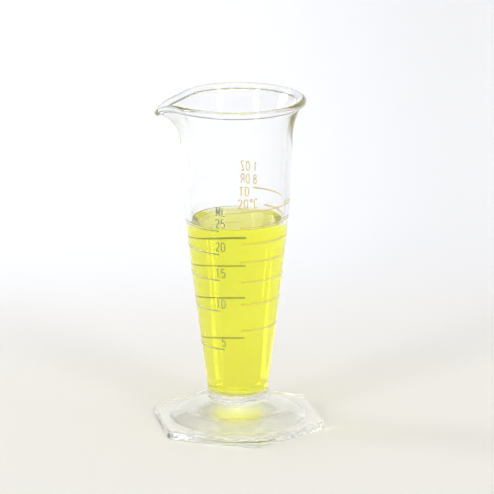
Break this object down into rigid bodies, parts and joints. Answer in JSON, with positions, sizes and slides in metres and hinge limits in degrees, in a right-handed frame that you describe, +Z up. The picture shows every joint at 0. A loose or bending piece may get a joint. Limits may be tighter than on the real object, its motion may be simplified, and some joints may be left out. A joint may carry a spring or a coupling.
{
  "type": "conical glass graduate",
  "caption": "Clear conical glass graduate with a flared pouring lip, a hexagonal foot, printed graduation lines in two scales, and yellow liquid inside.",
  "frame": {"origin": "middle of the foot's underside, on the bowl's axis, at bench level", "axes": "+Z up along the bowl's axis; the spout points along -X; the front, where the numerals are, faces -Y"},
  "size_m": [0.0554, 0.0572, 0.108],
  "materials": {
    "glass": "clear blown soda-lime glass, fire polished",
    "foot_glass": "clear pressed soda-lime glass",
    "liquid": "clear yellow dyed water",
    "green_enamel": "fired ceramic enamel, satin",
    "amber_enamel": "fired ceramic enamel, satin"
  },
  "bodies": {
    "root": {"bowl": "glass", "foot": "foot_glass", "liquid": "liquid", "metric_line_5_ml": "green_enamel", "metric_line_10_ml": "green_enamel", "metric_line_15_ml": "green_enamel", "metric_line_20_ml": "green_enamel", "metric_line_25_ml": "green_enamel", "dram_line_2_dr": "amber_enamel", "dram_line_3_dr": "amber_enamel", "dram_line_4_dr": "amber_enamel", "dram_line_5_dr": "amber_enamel", "dram_line_6_dr": "amber_enamel", "dram_line_7_dr": "amber_enamel", "dram_line_8_dr": "amber_enamel"}
  },
  "joints": []
}
